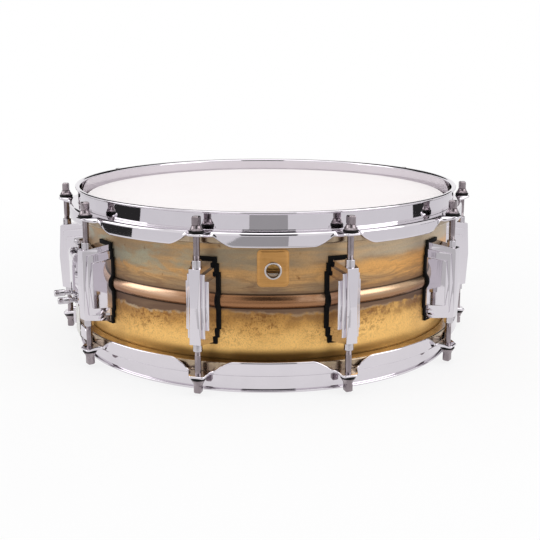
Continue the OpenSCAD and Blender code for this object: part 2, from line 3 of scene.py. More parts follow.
import bmesh
import bpy
import numpy as np
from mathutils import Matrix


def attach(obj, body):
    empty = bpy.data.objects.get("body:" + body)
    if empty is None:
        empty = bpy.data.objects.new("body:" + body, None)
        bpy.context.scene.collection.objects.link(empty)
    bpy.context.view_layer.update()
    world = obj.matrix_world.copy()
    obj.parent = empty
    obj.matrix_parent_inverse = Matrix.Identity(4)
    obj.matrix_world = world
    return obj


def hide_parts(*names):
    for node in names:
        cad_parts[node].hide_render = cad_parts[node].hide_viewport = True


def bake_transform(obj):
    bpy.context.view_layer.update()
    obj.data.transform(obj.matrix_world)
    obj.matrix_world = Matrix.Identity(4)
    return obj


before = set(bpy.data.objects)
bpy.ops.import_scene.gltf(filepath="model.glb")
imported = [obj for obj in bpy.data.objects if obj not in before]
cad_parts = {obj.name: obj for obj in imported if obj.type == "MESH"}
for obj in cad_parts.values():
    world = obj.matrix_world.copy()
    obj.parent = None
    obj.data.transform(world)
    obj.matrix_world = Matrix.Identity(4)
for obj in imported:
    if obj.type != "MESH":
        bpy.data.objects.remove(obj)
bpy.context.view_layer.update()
print("frame loaded with", len(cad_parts), "nodes")

mm = 0.001
toMm = 1000.0
drum = {
    "height": 150.0, "midZ": 75.0, "ventZ": 101.0, "shellR": 177.0, "edgeZ": 138.5,
    "rodCircle": 196.5, "lugs": 10, "firstLug": 18.0, "strainerAt": -72.0, "buttAt": 108.0,
}
lugGap = 360.0 / drum["lugs"]
lugAngles = [drum["firstLug"] + lugGap * i for i in range(drum["lugs"])]
scene = bpy.context.scene
scene.view_settings.view_transform = "Standard"


# shader maths: a socket that takes part in Python expressions
class Value:
    def __init__(self, graph, socket):
        self.graph, self.socket = graph, socket

    def join(self, operation, a, b=0.0):
        return self.graph.node("ShaderNodeMath", {"operation": operation}, {0: a, 1: b})

    def __add__(self, other):
        return self.join("ADD", self, other)

    def __radd__(self, other):
        return self.join("ADD", other, self)

    def __sub__(self, other):
        return self.join("SUBTRACT", self, other)

    def __rsub__(self, other):
        return self.join("SUBTRACT", other, self)

    def __mul__(self, other):
        return self.join("MULTIPLY", self, other)

    def __rmul__(self, other):
        return self.join("MULTIPLY", other, self)

    def most(self, other):
        return self.join("MAXIMUM", self, other)

    def size(self):
        return self.join("ABSOLUTE", self)

    def root(self):
        return self.join("SQRT", self)


# linear colour from the 0 to 255 values of a picture
def srgb(red, green, blue):
    c = np.array([red, green, blue]) / 255.0
    return tuple(np.where(c < 0.04045, c / 12.92, ((c + 0.055) / 1.055) ** 2.4)) + (1.0,)


# a node tree: every node in it comes from one method
class Graph:
    def __init__(self, tree):
        self.tree = tree

    def feed(self, socket, value):
        if isinstance(value, Value):
            self.tree.links.new(value.socket, socket)
        else:
            socket.default_value = value

    def node(self, kind, settings=None, inputs=None, output=0):
        made = self.tree.nodes.new(kind)
        for key, value in (settings or {}).items():
            setattr(made, key, value)
        for key, value in (inputs or {}).items():
            self.feed(made.inputs[key], value)
        return Value(self, made.outputs[output])

    # 1 on one kind of ray, such as Is Camera Ray
    def ray(self, kind):
        return self.node("ShaderNodeLightPath", output=kind)


# a material on the principled shader, patterned by Object coordinates; the slot name that it is given is kept but
# not used
class Finish(Graph):
    def __init__(self, name, slot=None, **constants):
        self.name, self.slot = name, slot
        self.material = bpy.data.materials.new(name)
        self.material.use_nodes = True
        super().__init__(self.material.node_tree)
        self.shader = self.tree.nodes["Principled BSDF"]
        self.set(**constants)

    # the shader's sockets, named in camelCase
    def set(self, **sockets):
        for key, value in sockets.items():
            words = "".join(" " + c if c.isupper() else c for c in key).title()
            self.feed(self.shader.inputs[words.replace("Ior", "IOR")], value)

    def place(self):
        return self.node("ShaderNodeTexCoord", output="Object")

    def axes(self):
        return [self.node("ShaderNodeSeparateXYZ", inputs={0: self.place()}, output=i) for i in range(3)]

    # scale is one number, or (across, up) for a grain that runs around or up the drum
    def noise(self, scale, detail=4.0, roughness=0.55, distortion=0.0):
        vector = self.place()
        if isinstance(scale, tuple):
            across, up = scale
            mapped = {"Vector": vector, "Scale": (across, across, up)}
            vector, scale = self.node("ShaderNodeMapping", inputs=mapped), 1.0
        look = {"Scale": scale, "Detail": detail, "Roughness": roughness, "Distortion": distortion}
        return self.node("ShaderNodeTexNoise", inputs={"Vector": vector, **look})

    # 0 below low, 1 above high, smooth between
    def step(self, value, low, high):
        inputs = {"Value": value, "From Min": low, "From Max": high}
        return self.node("ShaderNodeMapRange", {"interpolation_type": "SMOOTHSTEP"}, inputs)

    # 1 below low, 0 above high
    def fade(self, value, low, high):
        return 1.0 - self.step(value, low, high)

    def mix(self, factor, a, b):
        return self.node("ShaderNodeMix", {"data_type": "RGBA"}, {0: factor, 6: a, 7: b}, 2)

    # a base colour under layers of (factor, colour)
    def layered(self, colour, *layers):
        for factor, tone in layers:
            colour = self.mix(factor, colour, tone)
        return colour

    def bump(self, height, strength, distance):
        inputs = {"Height": height, "Strength": strength, "Distance": distance}
        self.set(normal=self.node("ShaderNodeBump", inputs=inputs))


# Materials

# brass left bare: patina colours and the colours of painted highlights and painted shade, and the heights in mm
# between which each layer comes or goes
patinaAndPaintedLight = {
    "olive": srgb(158, 136, 108), "tan": srgb(182, 148, 106), "rust": srgb(146, 110, 78),
    "verdigris": srgb(160, 164, 146), "honey": srgb(230, 172, 100), "gold": srgb(254, 205, 125),
    "deepGold": srgb(212, 160, 88), "stain": srgb(158, 114, 60), "umber": srgb(112, 87, 71),
    "mauve": srgb(134, 108, 86), "chalk": srgb(204, 186, 158), "speck": srgb(112, 64, 32),
    "veil": srgb(186, 176, 156), "copper": srgb(152, 109, 77), "copperHighlight": srgb(222, 184, 154),
    "champagneHighlight": srgb(182, 155, 126), "groove": srgb(40, 25, 15), "shade": srgb(92, 64, 20),
    "halves": (74.0, 76.0), "honeyAt": 96.0, "honeyOff": (2.0, 10.0), "filmFrom": (86.0, 98.0),
    "veilFrom": (102.0, 109.0), "rustTo": (84.0, 91.0), "wispsTo": (90.0, 104.0),
    "deepFrom": (36.0, 60.0), "pitsFrom": (30.0, 54.0), "pitsTo": (61.0, 67.0),
    "stainFrom": (45.0, 57.0), "crustFrom": (50.0, 58.0), "brownFrom": (59.0, 61.4),
    "chalkFrom": (58.0, 59.6), "chalkTo": (60.2, 61.6), "shadeTo": (29.0, 36.0),
    "beadOff": (5.2, 5.8), "beadHighlightFrom": (73.0, 77.0), "beadShadeOff": (6.5, 10.0),
    "grooveShadeIn": (4.7, 5.6), "grooveShadeOut": (5.9, 7.0),
}


def makeAgedBrass():
    p = patinaAndPaintedLight
    f = Finish("agedBrass", "raw_brass")
    x, y, z = f.axes()
    high = z * toMm
    cloud = f.noise((14.0, 34.0), 5.0, 0.55, 0.4)
    streak = f.noise((9.0, 75.0), 6.0, 0.6, 0.5)
    wisp = f.noise((20.0, 150.0), 5.0, 0.6, 0.9)
    patch = f.noise((34.0, 90.0), 5.0, 0.6, 0.7)
    drip = f.noise((85.0, 12.0), 3.0)
    blotch = f.noise(90.0, 4.0, 0.65)
    grain = f.noise(420.0, 3.0)
    dust = f.noise(900.0, 2.0, 0.6)
    sideways = f.step(x, 0.0, 0.13)
    leftward = f.fade(x, -0.14, -0.02)
    midway = f.fade(x.size(), 0.05, 0.13)
    # upper half: dull olive and tan with rusty wisps, a honey band at the vent's height, blue-green films
    honeyBand = f.fade((high + (cloud - 0.5) * 20.0 - p["honeyAt"]).size(), *p["honeyOff"])
    flow = f.step(streak * 0.5 + cloud * 0.5 + sideways * 0.16, 0.5, 0.74)
    honey = (honeyBand * f.step(wisp, 0.24, 0.52)).most(flow)
    film = f.step(patch * 0.55 + cloud * 0.45, 0.5, 0.62) * f.step(high - sideways * 16.0, *p["filmFrom"])
    layer = high + (cloud - 0.5) * 14.0 + (blotch - 0.5) * 5.0
    wispy = f.step(wisp, 0.48, 0.57) * f.fade(wisp, 0.58, 0.66) * f.fade(high, *p["wispsTo"])
    upper = f.layered(
        p["olive"],
        (f.step(streak, 0.38, 0.64), p["tan"]),
        (f.step(patch, 0.5, 0.66) * 0.5, p["rust"]),
        # honey is the brass's own colour; its weight growing towards the right is also painted light, lighter on
        # that side
        (honey * (0.52 + sideways * 0.46), p["honey"]),
        (film * (0.3 + leftward * 0.5), p["verdigris"]),
        (f.step(layer, *p["veilFrom"]) * sideways * 0.75, p["veil"]),
        (f.fade(layer, *p["rustTo"]) * (0.2 + sideways * 0.35), p["rust"]),
        (wispy * 0.4, p["umber"]),
        (f.step(blotch, 0.64, 0.72) * f.step(cloud, 0.42, 0.55) * 0.6, p["speck"]),
    )
    # lower half: gold, brighter downwards, pitted near a ragged tide line, mauve-brown above that line
    tide = high + leftward * 5.0 - 5.0 + (cloud - 0.5) * 13.0 + (drip - 0.5) * 6.0 + (blotch - 0.5) * 6.0
    depth = f.step(high + (patch - 0.5) * 26.0, *p["deepFrom"])
    stain = f.step(tide, *p["stainFrom"]) * (0.4 + f.step(blotch, 0.36, 0.6) * 0.45)
    crust = f.step(tide, *p["crustFrom"]) * f.step(patch + (blotch - 0.5) * 0.5, 0.44, 0.56)
    fine = f.step(dust, 0.56, 0.66)
    mottled = f.step(f.noise((210.0, 260.0), 4.0, 0.65), 0.5, 0.62)
    cluster = f.step(f.noise((24.0, 36.0), 3.0), 0.36, 0.6)
    inBand = f.step(high, *p["pitsFrom"]) * f.fade(tide, *p["pitsTo"]) * (1.0 - sideways * 0.12)
    pits = (mottled * (cluster * 0.6 + 0.08)).most(fine * (cluster * 0.4 + 0.22)) * inBand
    chalky = f.step(tide, *p["chalkFrom"]) * f.fade(tide, *p["chalkTo"]) * f.step(blotch, 0.42, 0.56)
    lower = f.layered(
        p["gold"],
        # painted light: less deep gold towards the right, so the lower half is lighter on its right side
        (depth * (1.0 - sideways * 0.7), p["deepGold"]),
        (stain * (1.0 - leftward * 0.5), p["stain"]),
        (crust * (0.3 + sideways * 0.45), p["rust"]),
        (pits, p["speck"]),
        (f.step(tide, *p["brownFrom"]), f.mix(f.step(streak, 0.42, 0.64), p["umber"], p["mauve"])),
        (chalky * (0.25 + leftward * 0.4), p["chalk"]),
        # painted shade and painted reflection: darker towards the bottom edge, most at the front middle, where the
        # lower hoop shades the shell and shows in it
        (f.fade(high, *p["shadeTo"]) * (0.18 + midway * 0.72), p["shade"]),
    )
    # bead: copper with a painted highlight on its upper half at both sides of the front, its lower half left darker
    # copper as painted shade, and a painted shade line at each foot
    offBead = (high - drum["midZ"]).size()
    offWall = f.step(offBead, *p["beadOff"])
    # painted highlight: pale copper at the left and champagne at the right of the bead's front, mostly on its upper
    # half
    beadHighlight = f.step(cloud * 0.7 + wisp * 0.3 + leftward * 0.3 + sideways * 0.26, 0.5, 0.8)
    highlightTone = f.mix(sideways, p["copperHighlight"], p["champagneHighlight"])
    beadTone = f.mix(beadHighlight * (0.2 + f.step(high, *p["beadHighlightFrom"]) * 0.8), p["copper"], highlightTone)
    # painted shade: a dark line in the crease at each foot of the bead
    groove = f.step(offBead, *p["grooveShadeIn"]) * f.fade(offBead, *p["grooveShadeOut"])
    colour = f.layered(
        lower,
        (f.step(high, *p["halves"]), upper),
        (f.step(dust, 0.4, 0.65) * 0.16, p["umber"]),
        # painted shade: a darker band just above and just below the bead
        (f.fade(offBead, *p["beadShadeOff"]) * 0.5, p["umber"]),
        (1.0 - offWall, beadTone),
        (groove * 0.85, p["groove"]),
    )
    f.set(baseColor=colour, metallic=1.0 - offWall * 0.15)
    f.set(roughness=0.25 + offWall * (0.09 + (grain - 0.5) * 0.16 + cloud * 0.14))
    f.bump(grain - pits * 0.8, 0.07, 0.0004)
    return f


def makeChrome():
    f = Finish("chromePlate", "chrome", metallic=1.0)
    smear = f.noise(38.0, 5.0, 0.6)
    f.set(baseColor=f.mix(smear, srgb(209, 204, 210), srgb(219, 214, 220)))
    f.set(roughness=0.03 + f.step(smear, 0.45, 0.8) * 0.05)
    f.bump(f.noise(60.0, 2.0), 0.012, 0.0006)
    return f


# plain metal, smeared from a dark tone to a light one
def makeNickel(name, slot, dark, light, rough):
    f = Finish(name, slot, metallic=1.0)
    smear = f.noise((160.0, 60.0), 4.0)
    f.set(baseColor=f.mix(f.step(smear, 0.35, 0.7), srgb(*dark), srgb(*light)))
    f.set(roughness=rough + (smear - 0.5) * 0.12)
    f.bump(f.noise(900.0, 3.0), 0.04, 0.0002)
    return f


# plated ring with painted shade inside its bore: dark brown there, and rougher
def makeGrommetMetal():
    edge, face, bore, boreShadeTo = srgb(208, 199, 196), srgb(224, 216, 213), srgb(92, 66, 30), (5.5, 6.0)
    f = Finish("grommetMetal", "plated_steel", metallic=1.0)
    x, y, z = f.axes()
    up = z - drum["ventZ"] * mm
    smear = f.noise(160.0)
    boreShade = f.fade((x * x + up * up).root() * toMm, *boreShadeTo)
    f.set(baseColor=f.layered(edge, (smear, face), (boreShade, bore)))
    f.set(roughness=0.16 + smear * 0.08 + boreShade * 0.45)
    return f


def makeCoatedFilm():
    f = Finish("coatedFilm", "coated_film", specularIorLevel=0.3)
    mottle = f.noise(18.0, 4.0)
    tooth = f.noise(1500.0, 3.0, 0.65)
    f.set(baseColor=f.mix(mottle, srgb(251, 245, 245), srgb(254, 250, 250)))
    f.set(roughness=0.72 + (tooth - 0.5) * 0.2)
    f.bump(tooth, 0.12, 0.0003)
    return f


def makePlateBrass():
    f = Finish("plateBrass", "plate_brass", metallic=1.0)
    brushed = f.noise((40.0, 900.0), 3.0)
    tarnish = f.noise(90.0, 4.0)
    colour = f.mix(brushed, srgb(196, 142, 82), srgb(216, 166, 104))
    f.set(baseColor=f.mix(f.step(tarnish, 0.5, 0.75) * 0.5, colour, srgb(150, 104, 58)))
    f.set(roughness=0.34 + (brushed - 0.5) * 0.16)
    f.bump(brushed, 0.06, 0.0002)
    return f


# a plain grained finish: one noise mixes two tones, varies the roughness and raises the surface
def makeGrained(name, slot, noise, dark, light, rough, vary, bump=None, **constants):
    f = Finish(name, slot, **constants)
    grain = f.noise(*noise)
    f.set(baseColor=f.mix(grain, srgb(*dark), srgb(*light)), roughness=rough + (grain - 0.5) * vary)
    if bump:
        f.bump(grain, *bump)
    return f


finishes = {made.name: made for made in (
    makeAgedBrass(),
    makeChrome(),
    makeNickel("rodSteel", "plated_steel", (134, 124, 128), (162, 152, 156), 0.2),
    makeNickel("nutSteel", "plated_steel", (186, 181, 186), (204, 200, 205), 0.14),
    makeNickel("fleshAluminium", "flesh_aluminium", (146, 128, 106), (176, 158, 136), 0.2),
    makeNickel("snareSteel", "snare_steel", (190, 190, 192), (216, 216, 218), 0.18),
    makeGrommetMetal(),
    makeCoatedFilm(),
    makeGrained("hazyFilm", "clear_film", (26.0,), (222, 224, 222), (236, 237, 235), 0.28, 0.12,
                alpha=0.94, specularIorLevel=0.5),
    makeGrained("gasketRubber", "gasket_rubber", (700.0, 3.0), (6, 6, 6), (20, 19, 19), 0.7, 0.2,
                (0.15, 0.0003), specularIorLevel=0.12),
    makeGrained("washerNylon", "washer_nylon", (700.0, 3.0), (8, 8, 8), (22, 21, 21), 0.4, 0.2,
                (0.15, 0.0003), specularIorLevel=0.12),
    makePlateBrass(),
    makeGrained("strapFilm", "strap_film", ((90.0, 700.0), 2.0), (222, 221, 216), (240, 239, 235), 0.4, 0.15,
                (0.1, 0.0002), specularIorLevel=0.4),
)}
print("materials made:", len(finishes))


# Surfaces: every shape is (points, quads), in millimetres

# points from arrays of coordinates that are spread over each other
def spread(x, y, z):
    return np.stack(np.broadcast_arrays(x, y, z), -1).reshape(-1, 3)


def unit(vectors):
    return vectors / np.linalg.norm(vectors, axis=-1, keepdims=True)


# quads between neighbouring points of closed rows; wrap joins the last row to the first
def gridQuads(rows, cols, wrap=False):
    i, j = np.arange(rows if wrap else rows - 1)[:, None], np.arange(cols)[None, :]
    below, beside = (i + 1) % rows, (j + 1) % cols
    corners = [i * cols + j, i * cols + beside, below * cols + beside, below * cols + j]
    return np.stack(np.broadcast_arrays(*corners), -1).reshape(-1, 4)


# quads of a run of closed loops, with a strip across the first and the last
def runQuads(rows, count):
    k = np.arange(count // 2 - 1)
    cap = np.stack([k, k + 1, count - 2 - k, count - 1 - k], -1)
    return np.r_[gridQuads(rows, count), cap, cap + (rows - 1) * count]


# points of a profile, as offsets from one corner
def traced(r, z, *offsets):
    return [[r + dr, z + dz] for dr, dz in offsets]


# even steps to both sides of a middle
def evenly(middle, reach, step):
    return np.arange(middle - reach, middle + reach + 0.01, step)


# a profile of (radius, height) turned about the Z axis; wave(r, z, angle) may change the radius around it
def lathe(profile, count, wrap=False, wave=None):
    profile = np.asarray(profile, float)
    a = np.linspace(0, 2 * np.pi, count, endpoint=False)[None, :]
    r, z = profile[:, :1], profile[:, 1:]
    if wave:
        r = wave(r, z, a)
    return spread(r * np.cos(a), r * np.sin(a), z), gridQuads(len(profile), count, wrap)


# grip of a turned piece: a cosine wave around it between two heights
def fluted(low, high, count, depth):
    return lambda r, z, a: r - depth * ((z > low) & (z < high)) * (1 + np.cos(count * a)) / 2


# a closed outline carried through levels; first and last level close on their middle
def stack(levels):
    levels = np.asarray(levels, float)
    first, last = np.broadcast_to(levels[[0, -1]].mean(axis=1, keepdims=True), levels[[0, -1]].shape)
    rows = np.r_[first[None], levels, last[None]]
    return rows.reshape(-1, 3), gridQuads(len(rows), levels.shape[1])


# points close to both ends of each long side, so that flats shade flat beside their bends
def held(path, closed=False, hold=0.18):
    ends, out = np.r_[path[1:], path[:1]] if closed else path[1:], []
    for start, end in zip(path, ends):
        size = np.linalg.norm(end - start)
        out.append(start[None])
        if size > 8 * hold:
            near = np.array([[1.0], [3.0]]) * hold / size
            out.append(start + (end - start) * np.r_[near, 1 - near[::-1]])
    return np.concatenate(out if closed else out + [path[-1:]])


# each corner of a path becomes an arc that touches both its sides
def filleted(corners, radius, steps=4, closed=False):
    corners = np.asarray(corners, float)
    radii = np.broadcast_to(radius, len(corners))
    out = []
    for k, p in enumerate(corners):
        if radii[k] <= 0 or (not closed and k in (0, len(corners) - 1)):
            out.append(p[None])
            continue
        a, b = corners[k - 1] - p, corners[(k + 1) % len(corners)] - p
        room = 0.48 * min(np.linalg.norm(a), np.linalg.norm(b))
        a, b = unit(a), unit(b)
        half = 0.5 * math.acos(np.clip(a @ b, -0.9999, 0.9999))
        cut = min(radii[k] / math.tan(half), room)
        middle = p + unit(a + b) * cut / math.cos(half)
        turn = math.pi - 2 * half
        s = np.linspace(0, 1, steps + 1)[:, None]
        start, end = p + a * cut - middle, p + b * cut - middle
        out.append(middle + (np.sin((1 - s) * turn) * start + np.sin(s * turn) * end) / math.sin(turn))
    return held(np.concatenate(out), closed)


# local (sideways, outward, up) to the drum's frame, at an angle from the vent
def turned(shape, angle):
    points, quads = shape
    a = math.radians(angle)
    t, r, z = points.T
    return spread(t * math.cos(a) + r * math.sin(a), t * math.sin(a) - r * math.cos(a), z), quads


# a shape turned about Z is laid over, so that its axis points outward at a height
def laidOut(shape, sideways, up):
    x, y, z = shape[0].T
    return spread(x + sideways, z, y + up), shape[1]


def shifted(shape, outward, up):
    return shape[0] + [0, outward, up], shape[1]


def atLugs(shape):
    return [turned(shape, a) for a in lugAngles]


# an upper piece mirrored for the drum's lower end
def lowered(shape):
    return shape[0] * [1, 1, -1] + [0, 0, drum["height"]], shape[1]


# 0 below low, 1 above high, a cubic between
def smoothStep(value, low, high):
    s = np.clip((value - low) / (high - low), 0, 1)
    return s * s * (3 - 2 * s)


# lengths in metres, angles in degrees
meshing = {
    "mergeGap": 2e-6, "leastEdge": 1e-6, "flatWithin": 1.0, "castSharp": 30.0, "bevelSteps": 2, "bevelOver": 28.0,
}


def merged(mesh):
    work = bmesh.new()
    work.from_mesh(mesh)
    bmesh.ops.remove_doubles(work, verts=work.verts, dist=meshing["mergeGap"])
    return work


def placed(name, data, place=(0.0, 0.0, 0.0), turn=(0.0, 0.0, 0.0)):
    item = bpy.data.objects.new(name, data)
    item.location, item.rotation_euler = place, turn
    scene.collection.objects.link(item)
    return item


# shapes become one mesh, with doubles merged and faces turned outwards
def makePiece(name, shapes, finish, body, node, sharp=35.0, bevel=0.0):
    start, points, quads = 0, [], []
    for p, q in shapes:
        points.append(p)
        quads.append(q + start)
        start += len(p)
    mesh = bpy.data.meshes.new(name)
    mesh.from_pydata(np.concatenate(points) * mm, [], np.concatenate(quads))
    work = merged(mesh)
    bmesh.ops.dissolve_degenerate(work, edges=work.edges, dist=meshing["leastEdge"])
    bmesh.ops.recalc_face_normals(work, faces=work.faces)
    work.to_mesh(mesh)
    work.free()
    dress(mesh, name, finishes[finish], body, node, sharp, bevel)


# finish, rounded edges, the body that a piece follows (a piece given two bodies only has its place baked in and
# follows neither), and the CAD node that it stands for, hidden
def dress(mesh, name, finish, body, node, sharp, bevel):
    mesh.polygons.foreach_set("use_smooth", np.ones(len(mesh.polygons), bool))
    mesh.set_sharp_from_angle(angle=math.radians(sharp))
    mesh.materials.clear()
    mesh.materials.append(finish.material)
    piece = placed(name, mesh)
    if bevel > 0:
        rounding = piece.modifiers.new("edges", "BEVEL")
        rounding.width, rounding.segments = bevel * mm, meshing["bevelSteps"]
        rounding.limit_method, rounding.angle_limit = "ANGLE", math.radians(meshing["bevelOver"])
        rounding.use_clamp_overlap = False
        rounding.harden_normals = True
    if isinstance(body, tuple):
        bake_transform(piece)
    else:
        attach(piece, body)
    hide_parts(node)


# a CAD solid with its triangles joined and its edges rounded
def softenedCopy(node, body, finish, bevel):
    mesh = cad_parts[node].data.copy()
    work = merged(mesh)
    flat = math.radians(meshing["flatWithin"])
    bmesh.ops.dissolve_limit(work, angle_limit=flat, verts=work.verts, edges=work.edges)
    work.to_mesh(mesh)
    work.free()
    dress(mesh, node + "Soft", finishes[finish], body, node, meshing["castSharp"], bevel)


# Shell

shellLook = {
    "wall": 1.2, "bevel": 3.5, "flange": 5.0, "flangeT": 0.85, "proud": 3.0, "arc": 7.5,
    "foot": 0.5, "ventCut": 6.35, "wallRows": 22, "beadRows": (9.0, 0.4), "ventRows": (8.0, 0.5),
    "turnStep": 1.25, "ventTurns": (3.0, 0.15),
}


# radius of the outside: the wall plus a bead of circular section with soft feet
def shellRadius(z, grow=0.0):
    p = shellLook
    off = np.clip(np.abs(z - drum["midZ"]), 0, p["arc"] + grow)
    bead = np.sqrt((p["arc"] + grow) ** 2 - off ** 2) - p["arc"] + p["proud"]
    soft = p["foot"]
    return drum["shellR"] + soft * np.logaddexp(grow / soft, bead / soft)


# the shell's section is an outer and an inner skin joined by turned-in bearing edges, turned about Z in steps
# that are finer at the vent; the vent goes through both skins, and a wall joins the two along its edge
def makeShell():
    p, radius = shellLook, drum["shellR"]
    low, high = drum["height"] - drum["edgeZ"], drum["edgeZ"]
    rows = np.unique(np.r_[
        np.linspace(low + p["bevel"], high - p["bevel"], p["wallRows"]),
        evenly(drum["midZ"], *p["beadRows"]),
        evenly(drum["ventZ"], *p["ventRows"]),
    ])
    peak, bend, inner = radius - p["bevel"], high - p["bevel"], radius - p["wall"]
    tuck = np.array([peak - p["flange"], high - p["flange"]])
    top = filleted([[radius, bend - 1], [radius, bend], [peak, high], tuck, tuck + [p["flangeT"], -p["flangeT"]],
                    [peak, high - 1.7], [inner, bend - 0.5], [inner, bend - 1.5]],
                   [0, 0.8, 0.9, 0.2, 0.2, 0.4, 0.3, 0], 4)
    bottom = top * [1, -1] + [0, drum["height"]]
    skin = np.stack([shellRadius(rows), rows], -1)[1:-1]
    section = np.r_[skin, top, (skin - [p["wall"], 0])[::-1], bottom[::-1]]
    degrees = np.r_[np.arange(-180.0, 180.0, p["turnStep"]), evenly(0.0, *p["ventTurns"])]
    angles = np.radians(np.unique(degrees.round(3)))
    r, z = section[:, :1], section[:, 1:]
    count = len(angles)
    quads = gridQuads(len(section), count, True).reshape(len(section), count, 4)
    across, up = radius * np.sin((angles[:-1] + angles[1:]) / 2), (rows[1:-2] + rows[2:-1]) / 2
    inVent = np.hypot(across[None, :], up[:, None] - drum["ventZ"]) < p["ventCut"]
    inVent &= np.cos(angles[:-1]) > 0  # the front, not the back
    outside = np.arange(len(skin))
    inside = len(skin) + len(top) + outside[::-1]
    keep = np.ones(quads.shape[:2], bool)
    keep[:len(up), :-1] &= ~inVent
    keep[inside[1:], :-1] &= ~inVent
    k, j = np.nonzero(inVent[:, :-1] != inVent[:, 1:])
    edges = [np.stack([k, j + 1, k + 1, j + 1], -1)]
    k, j = np.nonzero(inVent[:-1] != inVent[1:])
    edges.append(np.stack([k + 1, j, k + 1, j + 1], -1))
    a, b, c, d = np.concatenate(edges).T
    corners = (outside[a], b), (outside[c], d), (inside[c], d), (inside[a], b)
    wall = np.stack([row * count + turn for row, turn in corners], -1)
    shape = spread(r * np.sin(angles), -r * np.cos(angles), z), np.r_[quads[keep], wall]
    makePiece("shellBrass", [shape], "agedBrass", "drum", "shell")


makeShell()
print("shell made")

ventLook = {
    "plateW": 26.0, "plateH": 31.0, "corner": 4.0, "plateLift": 2.0, "plateT": 0.6,
    "field": 1.5,
    "rim": [(1.25, 0.12), (1.0, 0.0), (0.25, 0.0), (0.07, 0.07), (0.0, 0.25)],  # in from the edge, below the face
    "gap": 0.05, "hole": 6.05, "bore": 5.3, "clear": 0.1, "wall": 0.7,
    "flange": 1.9, "flangeT": 1.2,
}


# plate around the vent: rings from the hole out to a rounded rectangle with a raised rim, bent to the shell
def makeVentPlate():
    p = ventLook
    halfW, halfH, face = p["plateW"] / 2, p["plateH"] / 2, p["plateT"]
    outline = filleted([[halfW, -halfH], [halfW, halfH], [-halfW, halfH], [-halfW, -halfH]], p["corner"], 8, True)
    sides = np.r_[outline, outline[:1]][:, None]
    share = np.linspace(0, 1, 7)[None, :-1, None]
    outline = (sides[:-1] * (1 - share) + sides[1:] * share).reshape(-1, 2)
    centre = np.array([0.0, -p["plateLift"]])
    hole, inward = centre + unit(outline - centre) * p["hole"], unit(outline)
    rings = [(hole, 0.0), (hole, face)]
    rings += [(hole * (1 - s) + (outline - inward * p["field"]) * s, face) for s in (0.25, 0.5, 0.75, 1.0)]
    rings += [(outline - inward * d, face - sunk) for d, sunk in p["rim"]] + [(outline, 0.0)]
    flat = np.stack([np.hstack([xy, np.full((len(xy), 1), h)]) for xy, h in rings])
    t, up, h = flat[..., 0], flat[..., 1] + drum["ventZ"] + p["plateLift"], flat[..., 2]
    r = np.sqrt(drum["shellR"] ** 2 - t ** 2) + p["gap"] + h
    shape = spread(t, r, up), gridQuads(len(rings), len(outline), True)
    makePiece("ventPlate", [turned(shape, 0)], "plateBrass", "drum", "vent_plate")


# grommet: a tube with a flange in front of the plate and another inside the shell, turned about the vent's axis
def makeVentGrommet():
    p = ventLook
    outer, tube, thick = p["bore"] + p["flange"], p["bore"] + p["wall"], p["flangeT"]
    front = drum["shellR"] + p["plateT"] + p["clear"]
    back = math.sqrt((drum["shellR"] - shellLook["wall"]) ** 2 - outer ** 2) - p["gap"]
    loop = [[p["bore"], back - thick], [p["bore"], front + thick], [outer, front + thick], [outer, front],
            [tube, front], [tube, back], [outer, back], [outer, back - thick]]
    profile = filleted(loop, [0.5, 0.9, 0.6, 0.1, 0.1, 0.1, 0.1, 0.5], 5, True)
    shape = laidOut(lathe(profile, 96, True), 0.0, drum["ventZ"])
    makePiece("ventGrommet", [turned(shape, 0)], "grommetMetal", "drum", "vent_grommet")


makeVentPlate()
makeVentGrommet()
print("vent made")

# Heads and their flesh hoops

headLook = {
    "filmT": 0.3, "snareFilmT": 0.25, "lift": 0.05, "rimRun": 6.0, "flatRows": 24,
    "collarR": 177.35, "collarDrop": 6.5, "fleshIn": 177.7, "fleshOut": 187.4, "fleshTop": 132.05,
    "fleshH": 8.0, "fleshT": 2.0, "fleshDip": 1.5,
}


# film of a head: flat to the bearing edge, over its rounded peak and down a collar
def filmProfile(thick):
    p = headLook
    low, peak, out = drum["edgeZ"] + p["lift"], drum["shellR"] - shellLook["bevel"], p["collarR"]
    bend = low - (out - peak)
    foot, flatR = bend - p["collarDrop"], peak - p["rimRun"]
    under = filleted([[0, low], [peak, low], [out, bend], [out, foot]], [0, 1.2, 2.0, 0], 6)
    over = filleted([[0, low + thick], [peak + 0.1, low + thick], [out + thick, bend + thick], [out + thick, foot]],
                    [0, 1.6, 2.4, 0], 6)
    flat = np.linspace(0, flatR, p["flatRows"])[:, None] * [1, 0] + [0, low]
    over, under = (side[side[:, 0] > flatR] for side in (over, under))
    return np.r_[flat + [0, thick], over, under[::-1], flat[::-1]]


# flesh hoop: a channel with its open side towards the playing surface
def fleshProfile():
    p = headLook
    a, b, top, low = p["fleshIn"], p["fleshOut"], p["fleshTop"], p["fleshTop"] - p["fleshH"]
    wall, floor = p["fleshT"], top - p["fleshDip"]
    loop = [[a, low], [a, top], [a + wall, top], [a + wall, floor], [b - wall, floor], [b - wall, top],
            [b, top], [b, low]]
    return filleted(loop, [1.2, 0.5, 0.4, 0.3, 0.3, 0.4, 0.5, 1.6], 4, True)


def makeHeads():
    film, thin = (lathe(filmProfile(headLook[t]), 360) for t in ("filmT", "snareFilmT"))
    ring = lathe(fleshProfile(), 360, True)
    makePiece("batterFilm", [film], "coatedFilm", "drum", "batter_head")
    makePiece("snareFilm", [lowered(thin)], "hazyFilm", "drum", "snare_head")
    for end, shape in (("batter", ring), ("snare", lowered(ring))):
        makePiece(end + "FleshRing", [shape], "fleshAluminium", "drum", end + "_flesh_hoop")


makeHeads()
print("heads made")

# Counterhoops

